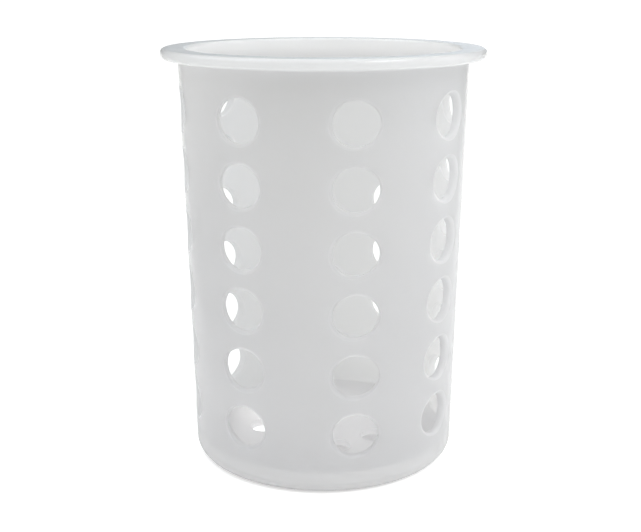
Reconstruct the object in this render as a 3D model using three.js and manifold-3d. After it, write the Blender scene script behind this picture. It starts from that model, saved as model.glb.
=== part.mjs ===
// Perforated cylindrical mould: a drafted tub with a flat rim, six rows of drain holes
// round its wall, a raised drain floor and a foot ring under it.
// Units are millimetres, +Z is up, and the origin is the centre of the foot, on the table.
// The wall's eight hole columns stand in pairs, one column on each side of the X and Y axes.

import * as THREE from 'three';
import { mergeVertices } from 'three/addons/utils/BufferGeometryUtils.js';
import Module from 'manifold-3d';

const wasm = await Module();
wasm.setup();

// Driving dimensions
const HEIGHT = 140;
const FLANGE_RADIUS = 53.6;
const FLANGE_THICKNESS = 3.4;
const FLANGE_EDGE_ROUND = 1.4;
const MOUTH_EDGE_ROUND = 1.0;
const NECK_LENGTH = 1;
const BODY_RADIUS_AT_FLANGE = 48;
const BODY_RADIUS_AT_TABLE = 45.2;
const WALL = 2.5;
const CORNER_ROUND = 4.5;
const FOOT_INNER_RADIUS = 38.5;
const FLOOR_THICKNESS = 2.2;

const ROWS = 6;
const LOWEST_ROW = 20.5;
const ROW_PITCH = 20;
const HOLE_RADIUS = 6.9;
const COLUMN_OFFSET = 18;

const DRAIN_HOLES = 8;
const DRAIN_HOLE_RADIUS = 4.7;
const DRAIN_RING_RADIUS = 21.5;

// Clearance between neighbouring solids
const GAP = 0.3;

// Facets
const TURN_SEGMENTS = 80;
const HOLE_SEGMENTS = 20;
const ROUND_STEPS = 4;

// Derived dimensions
const FLANGE_UNDERSIDE = HEIGHT - FLANGE_THICKNESS;
const NECK_BOTTOM = FLANGE_UNDERSIDE - NECK_LENGTH;
const FLOOR_UNDERSIDE = CORNER_ROUND;
const DRAIN_START_ANGLE = Math.PI / DRAIN_HOLES;

// Outer radius of the drafted body at height z
function bodyRadius(z) {
  return THREE.MathUtils.lerp(BODY_RADIUS_AT_TABLE, BODY_RADIUS_AT_FLANGE, z / FLANGE_UNDERSIDE);
}

// Inner radius of the drafted body at height z
function boreRadius(z) {
  return bodyRadius(z) - WALL;
}

// Points of a circular arc in the (radius, z) half plane, both ends included
function arc(centreR, centreZ, radius, startAngle, endAngle) {
  const points = [];
  for (let i = 0; i <= ROUND_STEPS; i += 1) {
    const angle = THREE.MathUtils.lerp(startAngle, endAngle, i / ROUND_STEPS);
    points.push(new THREE.Vector2(
      centreR + radius * Math.cos(angle),
      centreZ + radius * Math.sin(angle),
    ));
  }
  return points;
}

// Revolve a closed profile of (radius, z) points about +Z
function revolve(points) {
  const closed = [...points, points[0]];
  const geometry = new THREE.LatheGeometry(closed, TURN_SEGMENTS);
  geometry.rotateX(Math.PI / 2);
  return geometry;
}

// A three.js geometry as a manifold solid
function toSolid(geometry) {
  const bare = geometry.clone();
  bare.deleteAttribute('normal');
  bare.deleteAttribute('uv');
  const merged = mergeVertices(bare, 1e-4);
  const vertProperties = new Float32Array(merged.attributes.position.array);
  const triVerts = new Uint32Array(merged.index.array);
  const solid = new wasm.Manifold(new wasm.Mesh({ numProp: 3, vertProperties, triVerts }));
  return solid;
}

// A manifold solid as a three.js geometry
function toGeometry(solid) {
  const mesh = solid.getMesh();
  const geometry = new THREE.BufferGeometry();
  geometry.setAttribute('position', new THREE.BufferAttribute(mesh.vertProperties, 3));
  geometry.setIndex(new THREE.BufferAttribute(mesh.triVerts, 1));
  geometry.computeVertexNormals();
  return geometry;
}

// Rim: a flat ring with a rounded outer edge, a softened mouth edge and a neck below it
// that carries on the wall
function rimFlange() {
  const mouth = boreRadius(FLANGE_UNDERSIDE);
  const edge = FLANGE_RADIUS - FLANGE_EDGE_ROUND;
  return revolve([
    new THREE.Vector2(boreRadius(NECK_BOTTOM), NECK_BOTTOM),
    new THREE.Vector2(bodyRadius(NECK_BOTTOM), NECK_BOTTOM),
    new THREE.Vector2(bodyRadius(FLANGE_UNDERSIDE), FLANGE_UNDERSIDE),
    ...arc(edge, FLANGE_UNDERSIDE + FLANGE_EDGE_ROUND, FLANGE_EDGE_ROUND, -Math.PI / 2, 0),
    ...arc(edge, HEIGHT - FLANGE_EDGE_ROUND, FLANGE_EDGE_ROUND, 0, Math.PI / 2),
    ...arc(mouth + MOUTH_EDGE_ROUND, HEIGHT - MOUTH_EDGE_ROUND, MOUTH_EDGE_ROUND, Math.PI / 2, Math.PI),
    new THREE.Vector2(mouth, FLANGE_UNDERSIDE),
  ]);
}

// Wall: a drafted tube pierced by straight holes, those near the Y axis running along Y
// and those near the X axis running along X, as the side cores pull
function sideWall() {
  const bottom = FLOOR_UNDERSIDE;
  const top = NECK_BOTTOM - GAP;
  const tube = revolve([
    new THREE.Vector2(boreRadius(bottom), bottom),
    new THREE.Vector2(bodyRadius(bottom), bottom),
    new THREE.Vector2(bodyRadius(top), top),
    new THREE.Vector2(boreRadius(top), top),
  ]);
  let solid = toSolid(tube);
  for (let row = 0; row < ROWS; row += 1) {
    const z = LOWEST_ROW + row * ROW_PITCH;
    for (const side of [-1, 1]) {
      const alongY = new THREE.CylinderGeometry(
        HOLE_RADIUS, HOLE_RADIUS, 4 * FLANGE_RADIUS, HOLE_SEGMENTS,
      );
      const alongX = alongY.clone().rotateZ(Math.PI / 2);
      alongY.translate(side * COLUMN_OFFSET, 0, z);
      alongX.translate(0, side * COLUMN_OFFSET, z);
      solid = solid.subtract(toSolid(alongY)).subtract(toSolid(alongX));
    }
  }
  return toGeometry(solid);
}

// Floor: a flat disc with one ring of drain holes, one below each column of the wall
function drainFloor() {
  const radius = boreRadius(FLOOR_UNDERSIDE) - GAP;
  const disc = new THREE.CylinderGeometry(radius, radius, FLOOR_THICKNESS, TURN_SEGMENTS);
  disc.rotateX(Math.PI / 2);
  let solid = toSolid(disc);
  for (let i = 0; i < DRAIN_HOLES; i += 1) {
    const angle = DRAIN_START_ANGLE + i * 2 * Math.PI / DRAIN_HOLES;
    const hole = new THREE.CylinderGeometry(
      DRAIN_HOLE_RADIUS, DRAIN_HOLE_RADIUS, 2 * FLOOR_THICKNESS, HOLE_SEGMENTS,
    );
    hole.rotateX(Math.PI / 2);
    hole.translate(DRAIN_RING_RADIUS * Math.cos(angle), DRAIN_RING_RADIUS * Math.sin(angle), 0);
    solid = solid.subtract(toSolid(hole));
  }
  return toGeometry(solid);
}

// Foot: the rounded bottom corner of the body, a ring that lifts the floor off the table
function footRing() {
  const top = FLOOR_UNDERSIDE - GAP;
  const outer = bodyRadius(CORNER_ROUND);
  const topAngle = Math.asin((top - CORNER_ROUND) / CORNER_ROUND);
  return revolve([
    new THREE.Vector2(FOOT_INNER_RADIUS, 0),
    ...arc(outer - CORNER_ROUND, CORNER_ROUND, CORNER_ROUND, -Math.PI / 2, topAngle),
    new THREE.Vector2(FOOT_INNER_RADIUS, top),
  ]);
}

// Translucent natural polypropylene; each piece keeps a material of its own
function mouldedPlastic() {
  return new THREE.MeshStandardMaterial({ color: 0xdcdedd, roughness: 0.42, metalness: 0 });
}

function piece(name, geometry, z = 0) {
  const mesh = new THREE.Mesh(geometry, mouldedPlastic());
  mesh.name = name;
  mesh.position.z = z;
  return mesh;
}

const mould = new THREE.Group();
mould.add(
  piece('rim_flange', rimFlange()),
  piece('side_wall', sideWall()),
  piece('drain_floor', drainFloor(), FLOOR_UNDERSIDE + FLOOR_THICKNESS / 2),
  piece('foot_ring', footRing()),
);

export default mould;
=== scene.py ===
# Looks for the perforated mould: one continuous moulded skin round the CAD frame.
import math

import bmesh
import bpy
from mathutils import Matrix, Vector


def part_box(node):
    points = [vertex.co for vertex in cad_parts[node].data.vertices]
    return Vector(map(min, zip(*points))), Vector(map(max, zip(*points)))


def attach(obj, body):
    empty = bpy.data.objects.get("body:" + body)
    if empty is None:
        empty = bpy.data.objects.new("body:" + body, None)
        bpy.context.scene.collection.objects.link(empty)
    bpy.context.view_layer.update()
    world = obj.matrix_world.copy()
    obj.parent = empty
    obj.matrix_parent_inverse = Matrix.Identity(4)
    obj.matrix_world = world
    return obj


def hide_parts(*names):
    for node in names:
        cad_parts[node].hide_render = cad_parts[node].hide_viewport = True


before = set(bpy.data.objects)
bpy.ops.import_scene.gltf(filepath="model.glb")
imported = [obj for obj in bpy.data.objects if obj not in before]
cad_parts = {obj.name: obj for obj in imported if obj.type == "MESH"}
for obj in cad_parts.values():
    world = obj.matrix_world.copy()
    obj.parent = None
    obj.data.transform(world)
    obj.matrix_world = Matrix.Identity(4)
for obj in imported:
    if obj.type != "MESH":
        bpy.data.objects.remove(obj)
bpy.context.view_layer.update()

MM = 0.001

# ---------------------------------------------------------------- sizes, from the frame
_, rim_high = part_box("rim_flange")
_, wall_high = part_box("side_wall")
floor_low, floor_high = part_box("drain_floor")
_, foot_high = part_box("foot_ring")

HEIGHT = rim_high.z
FLANGE_RADIUS = rim_high.x
FLOOR_TOP = floor_high.z
FLOOR_UNDERSIDE = floor_low.z
DRAFT = (wall_high.x - foot_high.x) / (wall_high.z - foot_high.z)

# Sizes that the frame's boxes don't hold
FLANGE_THICKNESS = 3.4 * MM
FLANGE_UNDERSIDE = HEIGHT - FLANGE_THICKNESS
WALL = 2.5 * MM
FOOT_INNER_RADIUS = 38.5 * MM
CORNER_ROUND = 4.5 * MM
ROWS = 6
LOWEST_ROW = 20.5 * MM
ROW_PITCH = 20 * MM
HOLE_RADIUS = 6.9 * MM
COLUMN_OFFSET = 18 * MM
DRAIN_RING_RADIUS = 21.5 * MM
DRAIN_HOLE_RADIUS = 4.7 * MM
DRAIN_CELL_HALF = 8.5 * MM

# Rounds that the moulding tool leaves
FLANGE_EDGE_ROUND = 1.4 * MM
MOUTH_ROUND = 1.0 * MM
NECK_ROUND = 1.2 * MM
HOLE_OUTER_ROUND = 1.0 * MM
HOLE_INNER_ROUND = 0.4 * MM
DRAIN_ROUND = 0.4 * MM
FLOOR_CORNER_ROUND = 1.5 * MM
FOOT_ROUND = 0.6 * MM
RECESS_ROUND = 1.0 * MM

# Mesh resolution: a hole's edge has 2 * (CELL_ACROSS + CELL_UP) points
COLUMNS = 8
CELL_ACROSS = 24
CELL_UP = 12
AROUND = COLUMNS * CELL_ACROSS
QUARTER_STEPS = 6
DRAIN_QUARTER_STEPS = 4
CAP_STEPS = 4
# Where extra rings lie across the rim's flat faces, so that their shading stays flat
UNDERSIDE_RINGS = (0.1, 0.9)
TOP_RINGS = (0.06, 0.94)


def body_radius(z):
    """Outer radius of the drafted wall at height z."""
    return foot_high.x + DRAFT * (z - foot_high.z)


def bore_radius(z):
    """Inner radius of the drafted wall at height z."""
    return body_radius(z) - WALL


# ---------------------------------------------------------------- mesh helpers
class Skin:
    """Collects points and quads, then makes one closed mesh of them."""

    def __init__(self):
        self.points = []
        self.faces = []
        self.bore_faces = []

    def point(self, x, y, z):
        self.points.append((x, y, z))
        return len(self.points) - 1

    def turn_point(self, radius, z, angle):
        return self.point(radius * math.cos(angle), radius * math.sin(angle), z)

    def ring(self, radius, z):
        """A full circle of points about +Z."""
        return [self.turn_point(radius, z, 2 * math.pi * k / AROUND) for k in range(AROUND)]

    def bridge(self, first, second, closed=True):
        """Quads between two rows of the same number of points."""
        count = len(first)
        last = count if closed else count - 1
        for k in range(last):
            n = (k + 1) % count
            self.faces.append((first[k], first[n], second[n], second[k]))

    def bridge_all(self, rows):
        for first, second in zip(rows, rows[1:]):
            self.bridge(first, second)

    def bridge_bore(self, rows):
        """The inside and the edges of a hole, which core pins leave matt."""
        start = len(self.faces)
        self.bridge_all(rows)
        self.bore_faces.extend(range(start, len(self.faces)))

    def cap(self, ring, radius, z):
        """Closes a ring with ever smaller rings and a point on the axis."""
        rows = [ring]
        for i in range(1, CAP_STEPS):
            rows.append(self.ring(radius * (1 - i / CAP_STEPS), z))
        self.bridge_all(rows)
        centre = self.point(0, 0, z)
        for k in range(AROUND):
            self.faces.append((rows[-1][k], rows[-1][(k + 1) % AROUND], centre))

    def to_object(self, name):
        mesh = bpy.data.meshes.new(name)
        mesh.from_pydata(self.points, [], self.faces)
        bore = mesh.attributes.new("bore", "FLOAT", "FACE")
        for index in self.bore_faces:
            bore.data[index].value = 1
        work = bmesh.new()
        work.from_mesh(mesh)
        bmesh.ops.recalc_face_normals(work, faces=work.faces)
        work.to_mesh(mesh)
        work.free()
        mesh.validate()
        mesh.polygons.foreach_set("use_smooth", [True] * len(mesh.polygons))
        made = bpy.data.objects.new(name, mesh)
        bpy.context.scene.collection.objects.link(made)
        return made


def arc_points(centre_r, centre_z, radius, start, end, steps=QUARTER_STEPS):
    """(radius, z) points of an arc, from start to end in degrees, both included."""
    points = []
    for i in range(steps + 1):
        angle = math.radians(start + (end - start) * i / steps)
        points.append((centre_r + radius * math.cos(angle), centre_z + radius * math.sin(angle)))
    return points


def quarter_turns(steps):
    """Angles from 0 to 90 degrees, both included."""
    return [math.pi / 2 * i / steps for i in range(steps + 1)]


def mix(a, b, t):
    return a + (b - a) * t


# ---------------------------------------------------------------- pierced sheets
# A sheet is a surface of (angle, s): s is the height on the wall and the radius on the floor.
# It is cut into cells, one hole in each, and a cell's points run from its border to its hole.
HOLE_POINTS = 2 * (CELL_ACROSS + CELL_UP)
CELL_STEPS = (0.3, 0.62, 0.88)


def hole_angles():
    """Angle round the hole for each border point, from the border's low left corner."""
    step = 2 * math.pi / HOLE_POINTS
    start = -math.pi / 2 - step * CELL_ACROSS / 2
    return [start + step * k for k in range(HOLE_POINTS)]


class Sheet:
    """One face of a pierced wall or floor, as rows of cells between full rings."""

    def __init__(self, skin, place, levels):
        """place(angle, s) gives a point in space, and levels are the rings' s values."""
        self.skin = skin
        self.place = place
        self.levels = levels
        self.rings = [self.level_ring(s) for s in levels]
        self.sides = {}

    def level_ring(self, s):
        return [
            self.skin.point(*self.place(2 * math.pi * k / AROUND, s)) for k in range(AROUND)
        ]

    def side(self, column, row):
        """The points up one side of a cell, shared with its neighbour."""
        column %= COLUMNS
        if (column, row) not in self.sides:
            angle = 2 * math.pi * column / COLUMNS
            low, high = self.levels[row], self.levels[row + 1]
            inner = [
                self.skin.point(*self.place(angle, mix(low, high, i / CELL_UP)))
                for i in range(1, CELL_UP)
            ]
            k = column * CELL_ACROSS
            self.sides[column, row] = [self.rings[row][k], *inner, self.rings[row + 1][k]]
        return self.sides[column, row]

    def border(self, column, row):
        """A cell's border points, and the (angle, s) of each, from its low left corner."""
        low, high = self.levels[row], self.levels[row + 1]
        first = column * CELL_ACROSS
        across = [(first + i) % AROUND for i in range(CELL_ACROSS + 1)]
        left, right = self.side(column, row), self.side(column + 1, row)
        points = (
            [self.rings[row][k] for k in across[:-1]]
            + right[:-1]
            + [self.rings[row + 1][k] for k in reversed(across[1:])]
            + left[:0:-1]
        )
        step = 2 * math.pi / AROUND
        start, end = first * step, (first + CELL_ACROSS) * step
        places = (
            [(start + i * step, low) for i in range(CELL_ACROSS)]
            + [(end, mix(low, high, i / CELL_UP)) for i in range(CELL_UP)]
            + [(end - i * step, high) for i in range(CELL_ACROSS)]
            + [(start, mix(high, low, i / CELL_UP)) for i in range(CELL_UP)]
        )
        return points, places

    def cell(self, column, row, edge_places, edge):
        """Fills a cell from its border to the hole's edge, whose points exist already."""
        points, places = self.border(column, row)
        rows = [points]
        for t in CELL_STEPS:
            rows.append([
                self.skin.point(*self.place(mix(a, b, t), mix(s, e, t)))
                for (a, s), (b, e) in zip(places, edge_places)
            ])
        rows.append(edge)
        self.skin.bridge_all(rows)


# ---------------------------------------------------------------- the wall's holes
def quarter(column):
    """The side core that makes a column: its pull direction's angle, and the column's offset."""
    turn = ((column + 1) // 2) % 4
    sign = 1 if column % 2 == 0 else -1
    return math.pi / 2 * turn, sign * COLUMN_OFFSET


def wall_hole(skin, outer, inner, column, row):
    """A straight round hole along its side core's pull, with rounded edges on both faces."""
    pull, offset = quarter(column)
    height = LOWEST_ROW + row * ROW_PITCH
    cos_pull, sin_pull = math.cos(pull), math.sin(pull)
    angles = hole_angles()

    def point_at(across, z, depth):
        return skin.point(
            depth * cos_pull - across * sin_pull, depth * sin_pull + across * cos_pull, z
        )

    def edge_ring(radius_at, edge_round, inward, turn):
        """One ring of an edge's round: turn is 0 on the face and 90 degrees in the bore."""
        reach = HOLE_RADIUS + edge_round * (1 - math.sin(turn))
        sunk = inward * edge_round * (1 - math.cos(turn))
        ring, spots, depths = [], [], []
        for angle in angles:
            across = offset + reach * math.cos(angle)
            z = height + reach * math.sin(angle)
            surface = radius_at(z)
            depth = math.sqrt(surface ** 2 - across ** 2) + sunk
            ring.append(point_at(across, z, depth))
            spots.append((pull + math.asin(across / surface), z))
            depths.append((across, z, depth))
        return ring, spots, depths

    steps = quarter_turns(QUARTER_STEPS)
    outer_rings = [edge_ring(body_radius, HOLE_OUTER_ROUND, -1, t) for t in steps]
    inner_rings = [edge_ring(bore_radius, HOLE_INNER_ROUND, 1, t) for t in reversed(steps[::2])]
    middle = [
        point_at(a, z, mix(first, second, 0.5))
        for (a, z, first), (_, _, second) in zip(outer_rings[-1][2], inner_rings[0][2])
    ]
    skin.bridge_bore([r[0] for r in outer_rings] + [middle] + [r[0] for r in inner_rings])
    outer.cell(column, row, whole_turns(outer_rings[0][1], column), outer_rings[0][0])
    inner.cell(column, row, whole_turns(inner_rings[-1][1], column), inner_rings[-1][0])


def whole_turns(spots, column):
    """The same spots with their angles next to the column's own, not a turn away from it."""
    middle = 2 * math.pi * (column + 0.5) / COLUMNS
    return [(a + 2 * math.pi * round((middle - a) / (2 * math.pi)), s) for a, s in spots]


def make_wall(skin):
    """Both faces of the wall with their holes. Returns the outer and the inner face, whose first
    and last rings are the low and high ends.
    """
    levels = [LOWEST_ROW + (row - 0.5) * ROW_PITCH for row in range(ROWS + 1)]

    def face(radius_at):
        return Sheet(
            skin,
            lambda a, z: (radius_at(z) * math.cos(a), radius_at(z) * math.sin(a), z),
            levels,
        )

    outer, inner = face(body_radius), face(bore_radius)
    for row in range(ROWS):
        for column in range(COLUMNS):
            wall_hole(skin, outer, inner, column, row)
    return outer, inner


# ---------------------------------------------------------------- the floor's holes
def make_floor(skin):
    """Both faces of the floor with one ring of drain holes."""
    levels = [DRAIN_RING_RADIUS - DRAIN_CELL_HALF, DRAIN_RING_RADIUS + DRAIN_CELL_HALF]
    top = Sheet(skin, lambda a, r: (r * math.cos(a), r * math.sin(a), FLOOR_TOP), levels)
    under = Sheet(skin, lambda a, r: (r * math.cos(a), r * math.sin(a), FLOOR_UNDERSIDE), levels)
    steps = quarter_turns(DRAIN_QUARTER_STEPS)
    for column in range(COLUMNS):
        centre = 2 * math.pi * (column + 0.5) / COLUMNS
        centre_x = DRAIN_RING_RADIUS * math.cos(centre)
        centre_y = DRAIN_RING_RADIUS * math.sin(centre)

        def ring_at(reach, z):
            ring, spots = [], []
            for angle in hole_angles():
                along = reach * math.sin(angle)
                across = reach * math.cos(angle)
                x = centre_x + along * math.cos(centre) - across * math.sin(centre)
                y = centre_y + along * math.sin(centre) + across * math.cos(centre)
                ring.append(skin.point(x, y, z))
                spots.append((math.atan2(y, x), math.hypot(x, y)))
            return ring, whole_turns(spots, column)

        def reach_at(t):
            return DRAIN_HOLE_RADIUS + DRAIN_ROUND * (1 - math.sin(t))

        upper = [ring_at(reach_at(t), FLOOR_TOP - DRAIN_ROUND * (1 - math.cos(t))) for t in steps]
        lower = [
            ring_at(reach_at(t), FLOOR_UNDERSIDE + DRAIN_ROUND * (1 - math.cos(t)))
            for t in reversed(steps)
        ]
        skin.bridge_bore([r for r, _ in upper] + [r for r, _ in lower])
        top.cell(column, 0, upper[0][1], upper[0][0])
        under.cell(column, 0, lower[-1][1], lower[-1][0])
    return top, under


# ---------------------------------------------------------------- the whole moulding
def rings_of(skin, profile):
    return [skin.ring(r, z) for r, z in profile]


def make_mould():
    """The tub as one closed skin: wall, rim, floor and foot without a seam."""
    skin = Skin()
    outer, inner = make_wall(skin)
    top, under = make_floor(skin)

    # Rim: up the outside, round the flange and down into the mouth
    neck = body_radius(FLANGE_UNDERSIDE)
    mouth = bore_radius(FLANGE_UNDERSIDE)
    edge = FLANGE_RADIUS - FLANGE_EDGE_ROUND
    rim = (
        [(body_radius(FLANGE_UNDERSIDE - 2 * NECK_ROUND), FLANGE_UNDERSIDE - 2 * NECK_ROUND)]
        + arc_points(neck + NECK_ROUND, FLANGE_UNDERSIDE - NECK_ROUND, NECK_ROUND, 180, 90)
        + [(mix(neck + NECK_ROUND, edge, t), FLANGE_UNDERSIDE) for t in UNDERSIDE_RINGS]
        + arc_points(edge, FLANGE_UNDERSIDE + FLANGE_EDGE_ROUND, FLANGE_EDGE_ROUND, -90, 0)
        + arc_points(edge, HEIGHT - FLANGE_EDGE_ROUND, FLANGE_EDGE_ROUND, 0, 90)
        + [(mix(edge, mouth + MOUTH_ROUND, t), HEIGHT) for t in TOP_RINGS]
        + arc_points(mouth + MOUTH_ROUND, HEIGHT - MOUTH_ROUND, MOUTH_ROUND, 90, 180)
        + [(bore_radius(HEIGHT - 2 * MOUTH_ROUND), HEIGHT - 2 * MOUTH_ROUND)]
    )
    skin.bridge_all([outer.rings[-1], *rings_of(skin, rim), inner.rings[-1]])

    # Foot: down the outside, round the corner, over the foot and into the recess
    corner = body_radius(CORNER_ROUND) - CORNER_ROUND
    foot = (
        [(body_radius(CORNER_ROUND + MM), CORNER_ROUND + MM)]
        + arc_points(corner, CORNER_ROUND, CORNER_ROUND, 0, -90, 2 * QUARTER_STEPS)
        + arc_points(FOOT_INNER_RADIUS + FOOT_ROUND, FOOT_ROUND, FOOT_ROUND, -90, -180)
        + arc_points(
            FOOT_INNER_RADIUS - RECESS_ROUND, FLOOR_UNDERSIDE - RECESS_ROUND, RECESS_ROUND, 0, 90
        )
    )
    skin.bridge_all([outer.rings[0], *rings_of(skin, foot), under.rings[-1]])

    # Floor: down the inside of the wall and round the corner onto the floor
    floor_edge = bore_radius(FLOOR_TOP) - FLOOR_CORNER_ROUND
    inside = (
        [(bore_radius(FLOOR_TOP + 2 * FLOOR_CORNER_ROUND), FLOOR_TOP + 2 * FLOOR_CORNER_ROUND)]
        + arc_points(floor_edge, FLOOR_TOP + FLOOR_CORNER_ROUND, FLOOR_CORNER_ROUND, 0, -90)
    )
    skin.bridge_all([inner.rings[0], *rings_of(skin, inside), top.rings[-1]])

    skin.cap(top.rings[0], top.levels[0], FLOOR_TOP)
    skin.cap(under.rings[0], under.levels[0], FLOOR_UNDERSIDE)
    return skin.to_object("moulded_tub")


# ---------------------------------------------------------------- shader nodes
class Graph:
    """Makes the shader nodes of one node tree and links them."""

    def __init__(self, tree):
        self.nodes = tree.nodes
        self.links = tree.links

    def feed(self, socket, value):
        """Links a socket from another one, or sets it to a value."""
        if isinstance(value, bpy.types.NodeSocket):
            self.links.new(value, socket)
        else:
            socket.default_value = value

    def node(self, kind, inputs, **settings):
        made = self.nodes.new(kind)
        for name, value in settings.items():
            setattr(made, name, value)
        for name, value in inputs.items():
            self.feed(made.inputs[name], value)
        return made

    def maths(self, operation, first, second):
        made = self.node("ShaderNodeMath", {0: first, 1: second}, operation=operation)
        return made.outputs["Value"]

    def vector_maths(self, operation, first, second, result):
        """The result is "Value" for a number and "Vector" for a vector."""
        made = self.node("ShaderNodeVectorMath", {0: first, 1: second}, operation=operation)
        return made.outputs[result]

    def map_range(self, value, source, target):
        """Takes a number from the source's (low, high) to the target's, and holds at both ends."""
        made = self.node("ShaderNodeMapRange", {
            "Value": value,
            "From Min": source[0],
            "From Max": source[1],
            "To Min": target[0],
            "To Max": target[1],
        })
        return made.outputs["Result"]

    def ramp(self, value, stops):
        """A number that runs straight from stop to stop, given as {place: strength}."""
        made = self.node("ShaderNodeValToRGB", {"Fac": value})
        elements = made.color_ramp.elements
        elements.remove(elements[1])
        for place, strength in stops.items():
            stop = elements[0] if place == min(stops) else elements.new(place)
            stop.position = place
            stop.color = (strength, strength, strength, 1)
        return made.outputs["Color"]

    def seen_or_lighting(self, seen, lighting, data_type):
        """One thing where the camera looks straight at it, another where it lights the object."""
        ray = self.nodes.new("ShaderNodeLightPath")
        made = self.node(
            "ShaderNodeMix",
            {"Factor": ray.outputs["Is Camera Ray"], "A": lighting, "B": seen},
            data_type=data_type,
        )
        return made.outputs["Result"]


def new_material(name):
    """A material with its graph and its Principled shader."""
    material = bpy.data.materials.new(name)
    material.use_nodes = True
    graph = Graph(material.node_tree)
    return material, graph, graph.nodes["Principled BSDF"]


# ---------------------------------------------------------------- the plastic
PLASTIC_TONES = ((0.912, 0.903, 0.917, 1), (0.94, 0.926, 0.931, 1))
PLASTIC_ROUGHNESS = (0.15, 0.23)
PLASTIC_IOR = 1.49
WALL_SHINE = 0.5
BORE_SHINE = 0.0
# How far red, green and blue light spreads inside, as shares of the scale
SCATTER_SHARES = (1.0, 0.97, 0.92)
SCATTER_SCALE = 45 * MM
RIPPLE_STRENGTH = 0.25
RIPPLE_DEPTH = 0.2 * MM
# Noise scale and detail of each unevenness
TONE_NOISE = (28, 2)
POLISH_NOISE = (160, 3)
RIPPLE_NOISE = (55, 1)


def moulded_plastic():
    """Natural white polypropylene: milky, satin, with a faint mould texture."""
    material, graph, shader = new_material("moulded_plastic")
    shader.inputs["IOR"].default_value = PLASTIC_IOR
    shader.inputs["Subsurface Weight"].default_value = 1.0
    shader.inputs["Subsurface Radius"].default_value = SCATTER_SHARES
    shader.inputs["Subsurface Scale"].default_value = SCATTER_SCALE
    place = graph.nodes.new("ShaderNodeTexCoord").outputs["Object"]

    def noise(scale, detail):
        made = graph.node(
            "ShaderNodeTexNoise", {"Vector": place, "Scale": scale, "Detail": detail}
        )
        return made.outputs["Fac"]

    pale, paler = PLASTIC_TONES
    tone = graph.node(
        "ShaderNodeMix", {"Factor": noise(*TONE_NOISE), "A": pale, "B": paler}, data_type="RGBA"
    )
    graph.feed(shader.inputs["Base Color"], tone.outputs["Result"])
    roughness = graph.map_range(noise(*POLISH_NOISE), (0, 1), PLASTIC_ROUGHNESS)
    graph.feed(shader.inputs["Roughness"], roughness)

    bore = graph.node("ShaderNodeAttribute", {}, attribute_name="bore")
    shine = graph.map_range(bore.outputs["Fac"], (0, 1), (WALL_SHINE, BORE_SHINE))
    graph.feed(shader.inputs["Specular IOR Level"], shine)

    ripple = graph.node("ShaderNodeBump", {
        "Height": noise(*RIPPLE_NOISE),
        "Strength": RIPPLE_STRENGTH,
        "Distance": RIPPLE_DEPTH,
    })
    graph.feed(shader.inputs["Normal"], ripple.outputs["Normal"])
    return material


# ---------------------------------------------------------------- camera
# The photo's view: level with a point a little above the rim, 10.8 degrees round from -Y.
CAMERA_DISTANCE = 368.8 * MM
CAMERA_HEIGHT = 164.8 * MM
CAMERA_PITCH = math.radians(15.17)
CAMERA_TURN = math.radians(10.8)
IMAGE_WIDTH = 641
FOCAL_PIXELS = 1096.6
SENSOR = 36.0


def make_camera():
    data = bpy.data.cameras.new("camera")
    data.sensor_width = SENSOR
    data.lens = SENSOR * FOCAL_PIXELS / IMAGE_WIDTH
    data.clip_start = 0.01
    data.shift_x = -3 / IMAGE_WIDTH
    camera = bpy.data.objects.new("camera", data)
    camera.location = (
        CAMERA_DISTANCE * math.sin(CAMERA_TURN),
        -CAMERA_DISTANCE * math.cos(CAMERA_TURN),
        CAMERA_HEIGHT,
    )
    camera.rotation_euler = (math.pi / 2 - CAMERA_PITCH, 0, CAMERA_TURN)
    bpy.context.scene.collection.objects.link(camera)
    bpy.context.scene.camera = camera


# ---------------------------------------------------------------- studio floor
FLOOR_COLOUR = (0.7, 0.7, 0.7, 1)
FLOOR_HALF = 6.0
# How brightly the floor glows at each distance (m) from the object's axis. This is painted light
# that lights the object in place of lamp light on the floor, and the dip from 0.04 to 0.048 m is
# painted shadow round the foot
FLOOR_GLOW = {0.036: 0.34, 0.04: 0.2, 0.048: 0.22, 0.066: 0.36, 0.16: 0.34, 0.25: 0.34, 0.9: 0.53}
# The glowing strip's half width, from full glow to none, per metre ahead of the camera's foot
STRIP_WIDENING = (0.34, 0.46)
# The glow that is seen, and doesn't light the object: dimmer under the foot as painted shade, and
# even all round outside it
SEEN_GLOW = (0.2, 0.62)
SEEN_GLOW_RADII = (0.04, 0.045)
# A painted patch of light on the floor under one drain hole, which shows white through the lowest
# hole on the left
PAINTED_LIGHT_PLACE = (-22 * MM, 5 * MM, 0)
PAINTED_LIGHT_RADII = (7 * MM, 12 * MM)
PAINTED_LIGHT_ON_OBJECT = 0.25
PAINTED_LIGHT_SEEN = 0.8


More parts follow.
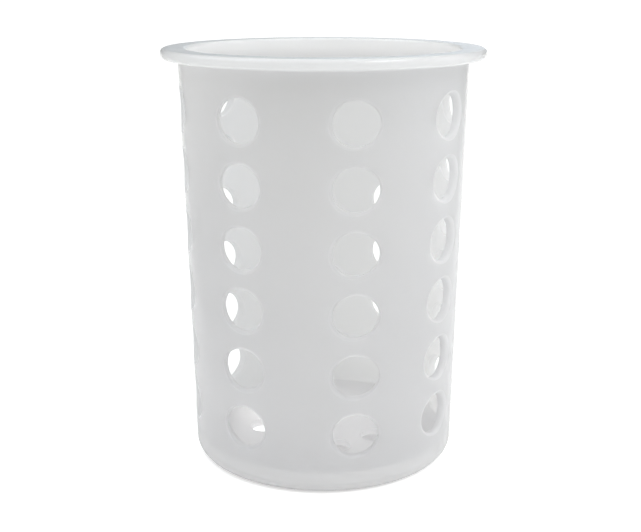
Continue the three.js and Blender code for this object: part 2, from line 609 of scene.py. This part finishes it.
def studio_floor_material():
    """Pale and matt. It is seen evenly lit, except for painted shade under the foot and a painted
    patch of light under one drain hole. Only a strip of it glows onto the object, with painted
    shadow round the foot.
    """
    material, graph, shader = new_material("studio_floor")
    shader.inputs["Base Color"].default_value = FLOOR_COLOUR
    shader.inputs["Roughness"].default_value = 0.9
    shader.inputs["Specular IOR Level"].default_value = 0.0
    shader.inputs["Emission Color"].default_value = (1, 1, 1, 1)
    place = graph.nodes.new("ShaderNodeTexCoord").outputs["Object"]

    def distance_from(point):
        return graph.vector_maths("DISTANCE", place, point, "Value")

    def along(direction):
        return graph.vector_maths("DOT_PRODUCT", place, direction, "Value")

    sin_turn, cos_turn = math.sin(CAMERA_TURN), math.cos(CAMERA_TURN)
    sideways = along((cos_turn, sin_turn, 0))
    aside = graph.maths("MAXIMUM", sideways, graph.maths("MULTIPLY", sideways, -1))
    ahead = graph.maths("ADD", along((-sin_turn, cos_turn, 0)), CAMERA_DISTANCE)
    widening = graph.maths("DIVIDE", aside, graph.maths("MAXIMUM", ahead, MM))
    strip = graph.map_range(widening, STRIP_WIDENING, (1, 0))

    radius = distance_from((0, 0, 0))
    # Painted glow that lights the object, only within the strip, with painted shadow round the
    # foot
    lighting = graph.maths("MULTIPLY", graph.ramp(radius, FLOOR_GLOW), strip)
    # Seen glow: painted shade under the foot, an even bright floor outside it
    seen = graph.map_range(radius, SEEN_GLOW_RADII, SEEN_GLOW)
    # A painted patch of light under one drain hole, both seen and lighting the object
    painted_light_patch = graph.map_range(distance_from(PAINTED_LIGHT_PLACE), PAINTED_LIGHT_RADII, (1, 0))
    strength = graph.seen_or_lighting(
        seen=graph.maths("ADD", seen, graph.maths("MULTIPLY", painted_light_patch, PAINTED_LIGHT_SEEN)),
        lighting=graph.maths("ADD", lighting, graph.maths("MULTIPLY", painted_light_patch, PAINTED_LIGHT_ON_OBJECT)),
        data_type="FLOAT",
    )
    graph.feed(shader.inputs["Emission Strength"], strength)
    return material


def make_floor_plane():
    half = FLOOR_HALF
    mesh = bpy.data.meshes.new("studio_floor")
    mesh.from_pydata(
        [(-half, -half, 0), (half, -half, 0), (half, half, 0), (-half, half, 0)],
        [],
        [(0, 1, 2, 3)],
    )
    floor = bpy.data.objects.new("studio_floor", mesh)
    bpy.context.scene.collection.objects.link(floor)
    mesh.materials.append(studio_floor_material())


# ---------------------------------------------------------------- studio light
# Colour times strength of each part of the sky, and how narrowly each part gathers
SKY_WIDE = (1.13, 1.11, 1.01)
SKY_NARROW = (0.59, 0.69, 0.85)
SKY_BACK = (0.59, 0.66, 0.73)
WIDE_SHARPNESS = 2
NARROW_SHARPNESS = 8
BACK_SHARPNESS = 30
BACK_AZIMUTH = 175
BACK_ELEVATION = 6
# The backdrop that is seen behind the floor's edge, and doesn't light the object
SKY_SEEN = (1, 1, 1, 1)

LIGHT_DISTANCE = 0.9


def direction_to(azimuth, elevation):
    """A unit vector in degrees from the object. Azimuth 0 is the camera's own side."""
    turn = CAMERA_TURN + math.radians(azimuth)
    rise = math.radians(elevation)
    return Vector((
        math.sin(turn) * math.cos(rise), -math.cos(turn) * math.cos(rise), math.sin(rise),
    ))


def studio_sky():
    """Soft light from overhead, with a low glow behind the object as from a backdrop."""
    world = bpy.data.worlds.new("studio")
    bpy.context.scene.world = world
    world.use_nodes = True
    graph = Graph(world.node_tree)
    place = graph.nodes.new("ShaderNodeTexCoord").outputs["Generated"]

    def lobe(direction, sharpness, colour):
        """Light that is strongest in one direction: colour * cos(angle) ** sharpness."""
        facing = graph.vector_maths("DOT_PRODUCT", place, direction, "Value")
        shape = graph.maths("POWER", graph.maths("MAXIMUM", facing, 0), sharpness)
        made = graph.node("ShaderNodeVectorMath", {0: colour, "Scale": shape}, operation="SCALE")
        return made.outputs["Vector"]

    overhead = graph.vector_maths(
        "ADD",
        lobe((0, 0, 1), WIDE_SHARPNESS, SKY_WIDE),
        lobe((0, 0, 1), NARROW_SHARPNESS, SKY_NARROW),
        "Vector",
    )
    back = lobe(direction_to(BACK_AZIMUTH, BACK_ELEVATION), BACK_SHARPNESS, SKY_BACK)
    lighting = graph.vector_maths("ADD", overhead, back, "Vector")
    colour = graph.seen_or_lighting(seen=SKY_SEEN, lighting=lighting, data_type="RGBA")
    graph.feed(graph.nodes["Background"].inputs["Color"], colour)


def area_light(name, azimuth, elevation, size, power, colour=(1, 1, 1)):
    """A soft box that looks at the object."""
    data = bpy.data.lights.new(name, "AREA")
    data.shape = "RECTANGLE"
    data.size, data.size_y = size
    data.energy = power
    data.color = colour
    light = bpy.data.objects.new(name, data)
    direction = direction_to(azimuth, elevation)
    light.location = Vector((0, 0, HEIGHT / 2)) + direction * LIGHT_DISTANCE
    light.rotation_euler = direction.to_track_quat("Z", "Y").to_euler()
    bpy.context.scene.collection.objects.link(light)


def make_studio():
    make_floor_plane()
    studio_sky()
    area_light("front_right", 50, 45, (0.4, 0.25), 2.15)
    area_light("front_left", -61, 40, (0.35, 0.2), 0.4)
    area_light("left", -90, 50, (0.6, 0.6), 1.25, (0.9, 0.97, 1.1))
    area_light("right", 90, 20, (0.6, 0.6), 1.4, (0.98, 0.99, 1.03))


# ---------------------------------------------------------------- build
make_camera()
tub = make_mould()
tub.data.materials.append(moulded_plastic())
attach(tub, "root")
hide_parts("rim_flange", "side_wall", "drain_floor", "foot_ring")

make_studio()
settings = bpy.context.scene.view_settings
settings.view_transform = "Standard"
settings.look = "None"
